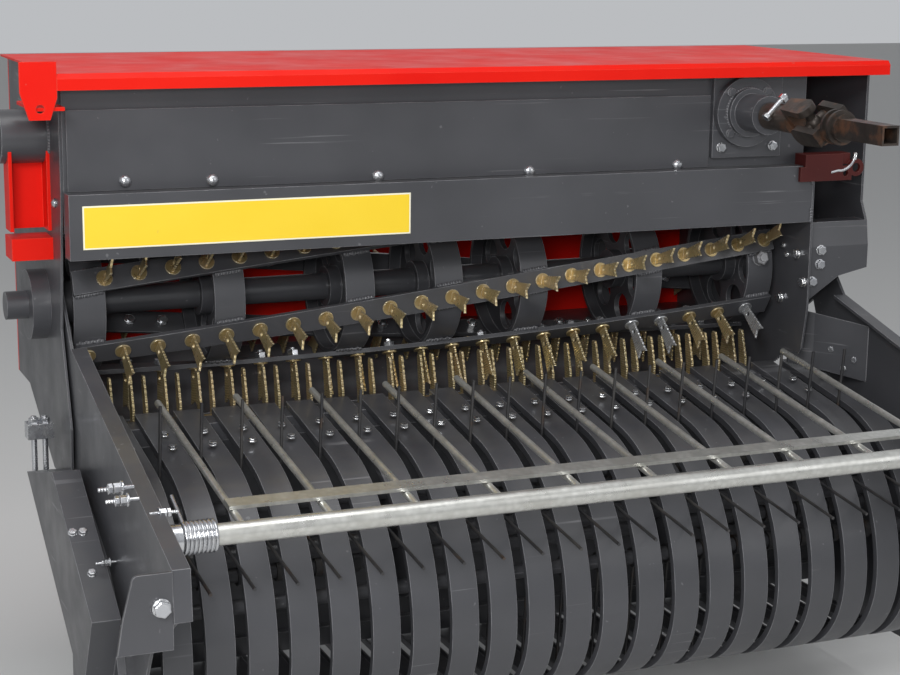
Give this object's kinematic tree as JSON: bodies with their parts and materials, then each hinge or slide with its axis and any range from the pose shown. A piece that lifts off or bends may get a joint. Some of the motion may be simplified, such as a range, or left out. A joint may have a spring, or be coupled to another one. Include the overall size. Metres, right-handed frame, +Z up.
{
  "type": "pick-up header with chopper rotor",
  "caption": "Baler pick-up header: spring tines between stripper bands, a rod wind guard, and a helical rotor of toothed knives that pass through a fixed comb.",
  "frame": {"origin": "centre of the four frame bolt holes, on the header's rear face", "axes": "+X across the machine to the right as seen from the front, +Y back towards the baler, +Z up"},
  "size_m": [1.673, 1.16, 1.12],
  "materials": {
    "grey_paint": "satin",
    "red_paint": "gloss",
    "yellow_zinc": "yellow passivated",
    "bright_zinc": "bright zinc",
    "galvanised": "galvanised",
    "dark_steel": "oiled spring steel",
    "yellow_plate": "gloss"
  },
  "bodies": {
    "housing": {"rear_wall": "red_paint", "side_sheet_left": "grey_paint", "side_sheet_right": "grey_paint", "front_panel": "grey_paint", "channel_beam": "grey_paint", "cover_plate": "grey_paint", "label_plate": "yellow_plate", "top_hood": "red_paint", "comb_beam": "grey_paint", "counter_knives": "yellow_zinc", "floor_sheet": "grey_paint", "bearing_plate": "grey_paint", "input_hub": "grey_paint", "rotor_bearing_left": "grey_paint", "rotor_bearing_right": "grey_paint", "hood_leg": "red_paint", "cross_tube": "grey_paint", "shaft_rest": "red_paint"},
    "rotor": {"rotor_shaft": "grey_paint", "rotor_discs": "grey_paint", "rotor_bars": "grey_paint", "rotor_knives": "yellow_zinc", "rotor_knives_bright": "bright_zinc"},
    "pickup": {"pickup_side_left": "grey_paint", "pickup_side_right": "grey_paint", "top_rail": "grey_paint", "bottom_rail": "grey_paint", "stripper_bands": "grey_paint", "deflector": "grey_paint", "guard_pivots": "bright_zinc", "guard_spring": "bright_zinc", "side_bracket": "grey_paint", "rear_sheet": "grey_paint", "side_arm": "grey_paint", "arm_clamp": "bright_zinc"},
    "reel": {"reel_shaft": "grey_paint", "reel_discs": "grey_paint", "tine_bars": "grey_paint", "tines": "dark_steel"},
    "wind_guard": {"guard_tube": "galvanised", "guard_rods": "galvanised", "guard_bar": "galvanised"},
    "input": {"input_yoke": "dark_steel"},
    "cross": {"joint_cross": "bright_zinc"},
    "drive_line": {"outer_yoke": "dark_steel"}
  },
  "joints": [
    {"name": "rotor_spin", "type": "hinge", "parent": "housing", "child": "rotor", "pos_m": [0, -0.3, 0], "axis": [1, 0, 0], "continuous": true},
    {"name": "pickup_lift", "type": "hinge", "parent": "housing", "child": "pickup", "pos_m": [0, -0.3, 0], "axis": [-1, 0, 0], "range_deg": [0, 12]},
    {"name": "reel_spin", "type": "hinge", "parent": "pickup", "child": "reel", "pos_m": [0, -0.684, -0.378], "axis": [1, 0, 0], "continuous": true},
    {"name": "wind_guard_lift", "type": "hinge", "parent": "pickup", "child": "wind_guard", "pos_m": [0, -1.006, -0.228], "axis": [1, 0, 0], "range_deg": [0, 30]},
    {"name": "input_spin", "type": "hinge", "parent": "housing", "child": "input", "pos_m": [0.576, -0.732, 0.325], "axis": [0, -1, 0], "continuous": true},
    {"name": "cross_tilt", "type": "hinge", "parent": "input", "child": "cross", "pos_m": [0.576, -0.732, 0.325], "axis": [0.6428, 0, -0.766], "range_deg": [-25, 25]},
    {"name": "drive_line_swing", "type": "hinge", "parent": "cross", "child": "drive_line", "pos_m": [0.576, -0.732, 0.325], "axis": [0.766, 0, 0.6428], "range_deg": [-25, 25]}
  ]
}
